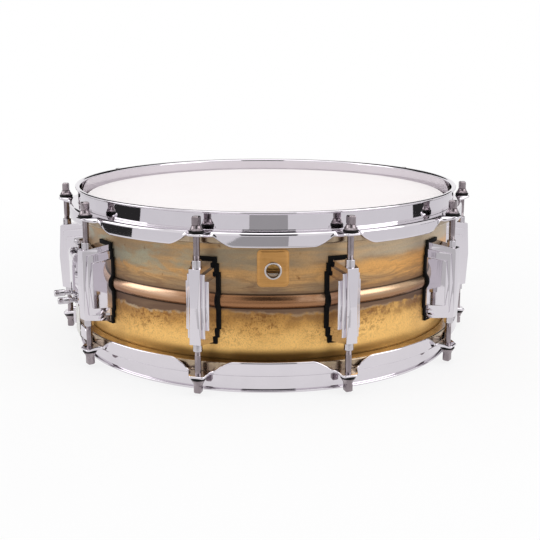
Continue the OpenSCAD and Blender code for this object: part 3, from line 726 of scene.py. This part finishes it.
hoopLook = {
    "sheet": 2.3, "bend": 1.5, "wallIn": 179.9, "lipOut": 184.5, "ledgeZ": 134.4, "skirtOut": 190.5,
    "skirtZ": 122.0, "earTip": 203.0, "earFlat": 4.5, "earFoot": 13.5, "turnFrom": 6.0,
    "turnTo": 17.0, "riseFrom": 7.0, "riseTo": 29.0, "riseH": 8.1, "gateHalf": 6.97,
    "gateCorner": 0.9, "bridge": 2.9, "barScale": 0.985, "barLap": 0.4, "barDrop": 3.0,
    "earRun": 31.0, "earRow": 0.9, "skirtRow": 3.5,
}


# sheet steel hoop in each radial plane: a centre line of lip, wall, ledge and skirt, thickened both ways;
# towards an ear the skirt shortens in an S, swings up level and reaches out to the ear's tip
def hoopSections(angles):
    p = hoopLook
    half, bend = p["sheet"] / 2, p["bend"]
    away = (angles - drum["firstLug"] + lugGap / 2) % lugGap - lugGap / 2
    t = np.abs(np.radians(away) * drum["rodCircle"])
    swing = smoothStep(t, p["turnFrom"], p["turnTo"]) * np.pi / 2
    rise = np.clip((t - p["riseFrom"]) / (p["riseTo"] - p["riseFrom"]), 0, 1)
    skirtZ = p["skirtZ"] + p["riseH"] * (1 + np.cos(np.pi * rise)) / 2
    ledge = p["ledgeZ"] - half
    bendAt = p["skirtOut"] - half - bend
    skirtLen = np.maximum(ledge - bend - half - skirtZ, 0.3)
    reach = p["skirtOut"] + (p["earTip"] - p["skirtOut"]) * (1 - smoothStep(t, p["earFlat"], p["earFoot"]))
    earLen = reach - bendAt - half
    level = 1 - swing / (np.pi / 2)
    length = earLen * level + skirtLen * (1 - level)
    # fixed part of the centre line: lip, wall, ledge
    wall, lipZ = p["wallIn"] + half, drum["height"] - half
    fixed = filleted([[p["lipOut"] - half, lipZ], [wall, lipZ], [wall, ledge], [bendAt, ledge]],
                     [0, bend, bend, 0], 6)
    s = np.linspace(0, 1, 8)[1:]
    arc = swing[:, None] * s
    bent = np.stack([bendAt + bend * np.sin(arc), ledge - bend * (1 - np.cos(arc))], -1)
    run = np.array([0.03, 0.12, 0.35, 0.65, 0.92, 1.0]) * length[:, None]
    skirt = np.stack([bent[:, -1:, 0] + run * np.cos(swing)[:, None],
                      bent[:, -1:, 1] - run * np.sin(swing)[:, None]], -1)
    line = np.hstack([np.broadcast_to(fixed, (len(t),) + fixed.shape), bent, skirt])
    heading = np.gradient(fixed, axis=0)
    heading = np.broadcast_to(np.arctan2(-heading[:, 1], heading[:, 0]), (len(t), len(fixed)))
    heading = np.hstack([heading, arc, np.broadcast_to(swing[:, None], run.shape)])
    along = np.stack([np.cos(heading), -np.sin(heading)], -1)
    side = np.stack([-along[..., 1], along[..., 0]], -1)
    q = np.linspace(0, np.pi, 6)[1:-1][None, :, None]
    endCap = line[:, -1:] + half * (np.cos(q) * side[:, -1:] + np.sin(q) * along[:, -1:])
    lipCap = line[:, :1] + half * (-np.cos(q) * side[:, :1] - np.sin(q) * along[:, :1])
    loop = np.hstack([line + half * side, endCap, (line - half * side)[:, ::-1], lipCap])
    return np.roll(loop, 2, axis=1)


# sections carried round the drum, as a ring or as a run with closed ends
def carried(angles, loop, ring):
    a, count = np.radians(angles)[:, None], loop.shape[1]
    points = spread(loop[..., 0] * np.sin(a), -loop[..., 0] * np.cos(a), loop[..., 1])
    return points, gridQuads(len(angles), count, True) if ring else runQuads(len(angles), count)


# what a gate leaves of the hoop: its lip and the wall's top edge, deeper by an amount at each angle
def barSections(deeper):
    p, top = hoopLook, drum["height"]
    half, outer = p["sheet"] / 2, p["wallIn"] + p["sheet"]
    turn, tip = (np.radians(np.linspace(*ends)) for ends in ((180, 90, 7), (90, -90, 8)))
    turn, tip = (np.stack([np.cos(a), np.sin(a)], -1) for a in (turn, tip))
    bendAt = np.array([p["wallIn"] + half + p["bend"], top - half - p["bend"]])
    lip = np.array([p["lipOut"] - half, top - half]) + half * tip
    curve = np.r_[bendAt + turn * (p["bend"] + half), lip, (bendAt + turn * (p["bend"] - half))[::-1]]
    cutZ = top - p["bridge"] - deeper
    foot = [np.stack([np.full(len(cutZ), r), cutZ], -1)[:, None] for r in (p["wallIn"], outer)]
    loop = np.hstack([foot[0], np.broadcast_to(curve, (len(cutZ),) + curve.shape), foot[1]])
    middle = np.array([outer, top - p["bridge"] / 2])
    return middle + (loop - middle) * p["barScale"]


# a hoop, whole or cut by gates for the snare straps, each gate bridged by a low bar with rounded ends
def hoopShapes(gates):
    p = hoopLook
    halfRun = np.radians(lugGap / 2) * drum["rodCircle"]
    near = np.r_[np.arange(0, p["earRun"], p["earRow"]), np.arange(p["earRun"], halfRun, p["skirtRow"])]
    perEar = np.degrees(np.r_[-near[:0:-1], near] / drum["rodCircle"])
    angles = np.sort(np.concatenate([a + perEar for a in lugAngles]) % 360.0)
    if not gates:
        return [carried(angles, hoopSections(angles), True)]
    shapes, half, corner, lap = [], p["gateHalf"], p["gateCorner"], p["barLap"]
    rounded = half - corner * np.linspace(0, 1, 7)
    level = np.linspace(corner - half, half - corner, 10)[1:-1]
    bar = np.r_[[-half - lap], -rounded, level, rounded[::-1], [half + lap]]
    ease = 1 - np.clip((half - np.abs(bar)) / corner, 0, 1)
    bridge = barSections(p["barDrop"] * (1 - np.sqrt(1 - ease ** 2)))
    for gate, other in zip(gates, gates[1:] + gates[:1]):
        span = (other - gate) % 360.0 - 2 * half
        inside = np.sort((angles - gate - half) % 360.0)
        inside = inside[(inside > 0.05) & (inside < span - 0.05)]
        run = gate + half + np.r_[[0.0], inside, [span]]
        shapes += [carried(run, hoopSections(run), False), carried(gate + bar, bridge, False)]
    return shapes


washerLook = {"bore": 3.0, "r": 6.3, "low": 0.02, "top": 1.88}


def makeHoops():
    gated = hoopShapes([drum["strainerAt"], drum["buttAt"]])
    for end, shapes in (("batter", hoopShapes([])), ("snare", [lowered(s) for s in gated])):
        makePiece(end + "HoopSteel", shapes, "chromePlate", end + "_hoop", end + "_hoop", sharp=50)
    w = washerLook
    loop = [[w["bore"], w["low"]], [w["r"], w["low"]], [w["r"], w["top"]], [w["bore"], w["top"]]]
    ring = lathe(filleted(loop, [0.1, 0.6, 0.6, 0.1], 4, True), 40, True)
    rings = atLugs(shifted(ring, drum["rodCircle"], hoopLook["ledgeZ"]))
    for end, shapes in (("batter", rings), ("snare", [lowered(s) for s in rings])):
        makePiece(end + "Washers", shapes, "washerNylon", end + "_hoop", end + "_washers")


makeHoops()
print("hoops made")

# Tension rods and swivel nuts

rodLook = {
    "seatZ": 136.35, "shankR": 2.7, "length": 44.85, "threadLen": 26.0, "threadPitch": 1.058,
    "threadDepth": 0.3, "collarR": 5.5, "collarH": 4.2, "headW": 6.2, "headH": 7.3, "fade": 2.0,
}


# rod: a turned profile whose radius follows a helix on the thread and a rounded square on the head
def rodShape(hand):
    p = rodLook
    r, out, low, neck = p["shankR"], p["collarR"], -p["length"], p["collarH"]
    top, half, threadTop = neck + p["headH"], p["headW"] / 2, low + p["threadLen"]
    shank = traced(r, low, (-r, 0), (-0.8, 0), (-0.2, 0.6))
    thread = [[r, z] for z in np.arange(low + 0.8, threadTop, p["threadPitch"] / 6)]
    collar = [[r, threadTop], [r, -4.0], [r, 0.0], *traced(out, 0.0, (-0.2, 0), (0, 0.2), (0, 1), (-0.25, 1.25)),
              [4.7, 2.1], [4.2, 2.9], [3.9, neck], [half, neck + 0.2], [half, neck + 1.0]]
    head = traced(half, top, (0, -1.3), (0, -1.1), (-0.12, -0.85), (-0.75, -0.12), (-1, 0), (-1.2, 0), (-half, 0))

    def wave(radius, z, a):
        turn = z / p["threadPitch"] + hand * a / (2 * np.pi)
        groove = p["threadDepth"] * np.abs(2 * (turn - np.floor(turn)) - 1)
        groove = groove * ((z > low + 0.7) & (z < threadTop - 0.1)) * np.clip((threadTop - z) / p["fade"], 0, 1)
        squarish = (np.abs(np.cos(a)) ** 10 + np.abs(np.sin(a)) ** 10) ** (-1 / 10)
        return (radius - groove) * (1 + (squarish - 1) * smoothStep(z, neck - 0.1, neck + 0.6))

    return lathe([*shank, *thread, *collar, *head], 32, wave=wave)


def makeRods():
    # turned() and lowered() each mirror a shape, so the two ends start with opposite helices and end right-handed
    high, low = (shifted(rodShape(hand), drum["rodCircle"], rodLook["seatZ"]) for hand in (1, -1))
    for i, angle in enumerate(lugAngles):
        for end, shape in (("batter", turned(high, angle)), ("snare", lowered(turned(low, angle)))):
            node = f"{end}_rod_{i + 1}"
            makePiece(f"{end}Rod{i + 1}", [shape], "rodSteel", node, node)


makeRods()
print("rods made")

nutLook = {"r": 4.0, "bore": 2.78, "top": 112.5, "length": 17.0}


# swivel nut: a plain tube with rounded ends, around each rod at both ends of a lug
def makeNuts():
    r, bore, top = nutLook["r"], nutLook["bore"], nutLook["top"]
    low = top - nutLook["length"]
    loop = [[bore, low], [r, low], [r, top], [bore, top]]
    nut = lathe(filleted(loop, [0.3, 0.3, 0.7, 0.4], 4, True), 40, True)
    nuts = atLugs(shifted(nut, drum["rodCircle"], 0.0))
    makePiece("swivelNuts", nuts + [lowered(s) for s in nuts], "nutSteel", "drum", "swivel_nuts")


makeNuts()
print("swivel nuts made")

# Lugs and their gaskets

lugLook = {
    "frontW": [4.8, 7.4, 9.8], "backW": [8.2, 9.8, 11.2],
    "frontH": [31.0, 26.4, 20.2], "backH": [34.5, 29.0, 21.8],
    "reach": [6.0, 2.7, -0.3], "crease": 2.2, "pinch": 1.6, "foot": 179.1,
    "sink": 1.2, "bevel": 0.28, "gasketT": 2.0, "gasketEdge": 0.35,
    "gasketGap": 0.05, "border": 2.0, "beadRows": (10.0, 0.8),
}


# one tier of a lug: at each height a trapezoid that narrows outwards, its front drawn out to a pinched crease
def lugTier(i):
    p = lugLook
    foot, tall, wideBack = p["foot"], p["frontH"][i], p["backW"][i]
    front = drum["rodCircle"] + p["reach"][i]
    z = np.array([-p["backH"][i], -tall, 0.0, tall, p["backH"][i]])
    face = np.array([foot, front, front + p["crease"], front, foot])
    knee = np.minimum(face, front)
    wide = wideBack + (p["frontW"][i] - wideBack) * (knee - foot) / (front - foot)
    slim = wide - p["pinch"] * (face - knee) / p["crease"]
    back, full = np.full_like(z, foot - p["sink"]), np.full_like(z, wideBack)
    across, out = (-full, -wide, -slim, slim, wide, full), (back, knee, face, face, knee, back)
    levels = np.stack([np.stack([t, r, z], -1) for t, r in zip(across, out)], 1)
    return shifted(stack(levels), 0.0, drum["midZ"])


# rubber behind a lug: the lug's stepped outline with a border, bent to the shell and over the bead
def gasketShape():
    p, edge = lugLook, lugLook["gasketEdge"]
    half, tall = ([size + p["border"] for size in p[key]] for key in ("backW", "backH"))
    ends = np.array([tall[0], tall[1], tall[1], tall[2], tall[2]])
    widths = np.array([half[0], half[0], half[1], half[1], half[2]])
    mids = evenly(0.0, *p["beadRows"])
    z = np.r_[-ends, mids, ends[::-1]] + drum["midZ"]
    w = np.r_[widths, np.full_like(mids, half[2]), widths[::-1]]
    t = np.array([-1.0, -1.0, -0.5, 0.0, 0.5, 1.0, 1.0])[None, :] * w[:, None]
    t[:, 1] += edge
    t[:, 5] -= edge
    wall, skin = (np.sqrt(shellRadius(z, grow)[:, None] ** 2 - t ** 2) for grow in (0.0, p["gasketT"]))
    skin[:, [0, -1]] -= edge
    z3 = np.broadcast_to(z[:, None], t.shape)
    behind = np.stack([t, wall + p["gasketGap"], z3], -1)[:, ::-1]
    return stack(np.hstack([np.stack([t, skin, z3], -1), behind]))


def makeLugs():
    tiers = [lugTier(i) for i in range(3)]
    for n, angle in enumerate(lugAngles):
        shapes = [turned(tier, angle) for tier in tiers]
        makePiece(f"lugCasting{n + 1}", shapes, "chromePlate", "drum", f"lug_{n + 1}", 2.0, lugLook["bevel"])
    makePiece("lugGaskets", atLugs(gasketShape()), "gasketRubber", "drum", "lug_gaskets", sharp=40)


makeLugs()
print("lugs made")

# Strainer, butt and snares

clampLook = {
    "z": 49.3, "halfGap": 14.0, "face": 187.8, "seat": 190.25, "length": 17.5, "shank": 1.9,
    "footR": 3.4, "neckR": 2.3, "gripR": 3.2, "flutes": 18, "fluteD": 0.16,
}


# thumb screw: shank, foot, neck and a barrel with fine flutes, turned about an outward axis
def thumbScrew(side):
    p = clampLook
    seat, foot, neck, grip = p["seat"], p["footR"], p["neckR"], p["gripR"]
    tip, start = seat + p["length"], p["face"] - 4
    profile = [[0, start], [p["shank"], start], [p["shank"], seat],
               *traced(foot, seat, (-0.2, 0), (0, 0.2), (0, 1.8), (-0.2, 2)),
               [neck, seat + 2.2], [neck, tip - 10.2],
               *traced(grip, tip, (-0.3, -10), (0, -9.6), (0, -8.6), (0, -8.4), (0, -1.6), (0, -1.4)),
               *traced(grip, tip, (-0.1, -0.7), (-0.5, -0.2), (-1, 0), (-grip, 0))]
    screw = lathe(profile, 72, wave=fluted(tip - 8.5, tip - 1.5, p["flutes"], p["fluteD"]))
    return laidOut(screw, side * p["halfGap"], p["z"])


knobLook = {
    "at": 183.65, "r": 5.6, "low": 99.3, "h": 4.5, "screwR": 2.0, "screwLow": 44.5, "stopR": 2.9,
    "stopTop": 86.7, "stopH": 1.8, "flutes": 24, "fluteD": 0.4,
}


# tension knob: screw, stop collar and a knurled barrel whose radius waves around it
def knobShape():
    p = knobLook
    r, low, screw, stop, under = p["r"], p["low"], p["screwR"], p["stopTop"], p["stopTop"] - p["stopH"]
    top, end = low + p["h"], p["screwLow"]
    profile = [[0, end], [screw - 0.4, end], [screw, end + 0.5], [screw, under], [p["stopR"], under],
               [p["stopR"], stop], [screw, stop], [screw, low],
               *traced(r, low, (-0.6, 0), (-0.2, 0.25), (0, 0.6), (0, 0.8)),
               *traced(r, top, (0, -1.3), (0, -1.1), (-0.2, -0.6), (-0.6, -0.15), (-1, 0), (-r, 0))]
    knob = lathe(profile, 144, wave=fluted(low + 0.7, top - 1.2, p["flutes"], p["fluteD"]))
    return shifted(knob, p["at"], 0.0)


strapLook = {
    "halfW": 11.0, "t": 0.4, "face": 187.8, "bend": 3.0, "low": 10.4, "inner": 157.0, "top": 54.0,
    "loose": 15.0, "fast": 44.0, "rows": 9,
}


# snare strap: the stretch of an L-shaped line with a round bend that lies between two radii,
# given thickness and carried sideways
def strapShape(near, far):
    p = strapLook
    mid = p["t"] / 2
    level, upright = p["low"] + mid, p["face"] + mid
    line = filleted([[p["inner"], level], [upright, level], [upright, p["top"]]], [0, p["bend"] + mid, 0], 10)
    line = line[(line[:, 0] > near - 1e-3) & (line[:, 0] < far + 1e-3)]
    along = unit(np.gradient(line, axis=0))
    side = np.stack([-along[:, 1], along[:, 0]], -1) * mid
    loop = np.r_[line + side, (line - side)[::-1]]
    t = np.linspace(-p["halfW"], p["halfW"], p["rows"])[:, None]
    return spread(t, loop[None, :, 0], loop[None, :, 1]), runQuads(p["rows"], len(loop))


wireLook = {
    "count": 20, "pitch": 2.1, "z": 9.65, "coilR": 0.72, "wireR": 0.22, "half": 150.0, "lead": 2.05,
    "perTurn": 7, "sides": 4,
}


# snare wires: a four-sided tube carried along a helix, all strands as one array
def makeWires():
    p, count, sides = wireLook, wireLook["count"], wireLook["sides"]
    turns = int(2 * p["half"] / p["lead"])
    s = np.linspace(-p["half"], p["half"], turns * p["perTurn"] + 1)
    a = (s / p["lead"] * 2 * np.pi)[None, :, None]
    offset = ((np.arange(count) - (count - 1) / 2) * p["pitch"])[:, None, None]
    around = np.arange(sides) * 2 * np.pi / sides
    radius = p["coilR"] + p["wireR"] * np.cos(around)
    r = s[None, :, None] + p["wireR"] * np.sin(around)
    points = spread(offset + np.cos(a) * radius, r, p["z"] + np.sin(a) * radius)
    first = np.arange(count)[:, None, None] * len(s) * sides
    quads = (runQuads(len(s), sides)[None] + first).reshape(-1, 4)
    shape = turned((points, quads), drum["strainerAt"])
    makePiece("snareCoils", [shape], "snareSteel", "snares", "snare_wires", sharp=60)


# the small castings keep their CAD shapes with rounded edges: node, body, finish, rounding
softened = [
    ("strainer_base", "drum", "chromePlate", 0.3),
    ("throw_off_lever", "lever", "chromePlate", 0.3),
    ("carriage", "carriage", "nutSteel", 0.3),
    ("clamp_block", "clamp", "chromePlate", 0.3),
    ("clamp_plate", "clamp", "chromePlate", 0.3),
    ("butt_base", "drum", "chromePlate", 0.3),
    ("butt_clamp_plate", "drum", "chromePlate", 0.3),
    ("snare_end_plates", "snares", "plateBrass", 0.15),
    ("lever_pivot_pin", "drum", "nutSteel", 0.2),
]


def makeStrainer():
    here, there = drum["strainerAt"], drum["buttAt"]
    for casting in softened:
        softenedCopy(*casting)
    for name, angle, body, node in (("clampThumbScrews", here, "clamp", "clamp_screws"),
                                    ("buttThumbScrews", there, "drum", "butt_screws")):
        shapes = [turned(thumbScrew(s), angle) for s in (-1, 1)]
        makePiece(name, shapes, "nutSteel", body, node)
    makePiece("tensionKnob", [turned(knobShape(), here)], "nutSteel", "knob", "tension_knob")
    # the strap's level run drops with the snares; its upright run lies between carriage and clamp, fixed in place
    p = strapLook
    bendAt, outside = p["face"] - p["bend"], p["face"] + p["t"]
    ends = turned((np.array([[0.0, p["face"], p["loose"]], [0.0, p["face"], p["fast"]]]), None), here)[0] * mm
    across = ("carriage", "clamp", *ends)
    for name, near, far, body in (("strainerStrapRun", p["inner"], bendAt, "snares"),
                                  ("strainerStrap", bendAt, outside, across)):
        makePiece(name, [turned(strapShape(near, far), here)], "strapFilm", body, "strainer_strap")
    makePiece("buttStrap", [turned(strapShape(p["inner"], outside), there)], "strapFilm", "drum", "butt_strap")
    makeWires()
    for node in ("lug_screws", "mount_screws"):
        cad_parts[node].data.materials.clear()
        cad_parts[node].data.materials.append(finishes["nutSteel"].material)


makeStrainer()
print("strainer and snares made")

# Studio

studio = {
    "floorSize": 12.0, "floorTone": srgb(246, 246, 247), "farTone": srgb(236, 236, 238), "farFrom": (0.25, 0.9),
    "glow": 0.8, "mirrorGlow": 0.85, "ambient": 0.6, "flagLift": 0.002,
    "flags": [  # name, tone, corners, on the floor where no height is given
        ("leftFlag", 0.03, [(-1.05, -0.35), (-1.12, -0.02), (-0.84, 0.11), (-0.73, -0.01), (-0.7, -0.24)]),
        ("rightFlag", 0.03, [(1.1, -0.09), (1.09, 0.15), (0.84, 0.12), (0.85, -0.085)]),
        ("frontFlag", 0.42, [(-0.185, -1.05), (0.175, -1.05), (0.142, -0.865), (0.1, -0.69), (-0.287, -0.69),
                             (-0.15, -0.85)]),
        ("nearFlag", 0.65, [(-0.13, -0.68), (0.13, -0.68), (0.2, -0.4), (0.176, -0.31), (0.148, -0.281),
                            (0.1, -0.3), (-0.1, -0.3), (-0.137, -0.287), (-0.166, -0.321), (-0.2, -0.4)]),
        ("backFlag", 0.03, [(-3.0, 2.2, 0.75), (3.0, 2.2, 0.75), (3.0, 1.0, 3.2), (-3.0, 1.0, 3.2)]),
        ("roomFlag", 0.06, [(-0.6, -2.4, 0.35), (0.6, -2.4, 0.35), (0.6, -1.6, 2.6), (-0.6, -1.6, 2.6)]),
    ],
    "lamps": [  # name, place, target, size, power
        ("topSoftbox", (0.0, -0.1, 1.7), (0.0, 0.0, 0.08), 1.6, 9.0),
        ("leftSoftbox", (-1.9, -0.1, 1.0), (0.0, 0.0, 0.08), 1.2, 7.0),
        ("rightSoftbox", (1.7, -0.9, 1.0), (0.0, 0.0, 0.08), 1.2, 10.0),
        ("insideGlow", (0.0, -0.1, 0.07), (0.0, 0.1, 0.07), 0.1, 0.32),
    ],
}


# white to the camera and to reflections, softer as light
def makeWorld():
    world = bpy.data.worlds.new("studio")
    world.use_nodes = True
    scene.world = world
    g = Graph(world.node_tree)
    back = g.tree.nodes["Background"]
    seen = g.ray("Is Camera Ray").most(g.ray("Is Glossy Ray")).most(g.ray("Is Transmission Ray"))
    g.feed(back.inputs["Color"], (1.0, 1.0, 1.0, 1.0))
    g.feed(back.inputs["Strength"], studio["ambient"] + seen * (1.0 - studio["ambient"]))


# a flat polygon with a material, seen only as part of the studio
def makeCard(name, corners, material):
    mesh = bpy.data.meshes.new(name)
    mesh.from_pydata(corners, [], [tuple(range(len(corners)))])
    mesh.materials.append(material)
    card = placed(name, mesh)
    return card


# pale floor: white to the camera and in the metal, with the drum's shadow where it is near
def makeFloor():
    half, glow = studio["floorSize"] / 2, studio["glow"]
    f = Finish("floorSheet", baseColor=studio["floorTone"], roughness=0.9)
    x, y, z = f.axes()
    far = f.step((x * x + y * y).root(), *studio["farFrom"])
    direct = f.ray("Is Camera Ray").most(f.ray("Is Transmission Ray"))
    mirrored = f.ray("Is Glossy Ray")
    seen = (direct * (glow + (1.0 - glow) * far)).most(mirrored * studio["mirrorGlow"])
    tone = f.mix(mirrored * far, (1.0, 1.0, 1.0, 1.0), studio["farTone"])
    shine = f.node("ShaderNodeEmission", inputs={"Color": tone})
    blend = f.node("ShaderNodeMixShader", inputs={0: seen, 1: Value(f, f.shader.outputs[0]), 2: shine})
    f.feed(f.tree.nodes["Material Output"].inputs[0], blend)
    makeCard("floor", [(-half, -half, 0), (half, -half, 0), (half, half, 0), (-half, half, 0)], f.material)


# dark cards on the floor and around the room, seen only in the metal
def makeFlags():
    for name, tone, corners in studio["flags"]:
        f = Finish(name, baseColor=(0.0, 0.0, 0.0, 1.0), roughness=1.0, specularIorLevel=0.0)
        f.set(emissionColor=(tone, tone, tone, 1.0), emissionStrength=1.0)
        flag = makeCard(name, [(*c, studio["flagLift"])[:3] for c in corners], f.material)
        flag.visible_camera = flag.visible_diffuse = flag.visible_shadow = False


def makeLamps():
    for name, place, target, size, power in studio["lamps"]:
        lamp = bpy.data.lights.new(name, "AREA")
        lamp.size, lamp.energy = size, power
        x, y, z = unit(np.subtract(target, place))
        placed(name, lamp, place, (math.acos(-z), 0.0, math.atan2(-x, y)))


cameraLook = {
    "place": (-0.03115, -0.86916, 0.2707), "turn": (79.5, 0.0, -1.68), "lens": 59.09,
    "sensor": 36.0, "shift": (0.0193, -0.0924),
}


def makeCamera():
    p = cameraLook
    camera = bpy.data.cameras.new("camera")
    camera.lens, camera.sensor_width = p["lens"], p["sensor"]
    camera.shift_x, camera.shift_y = p["shift"]
    scene.camera = placed("camera", camera, p["place"], np.radians(p["turn"]))


makeWorld()
makeFloor()
makeFlags()
makeLamps()
makeCamera()
print("studio made")
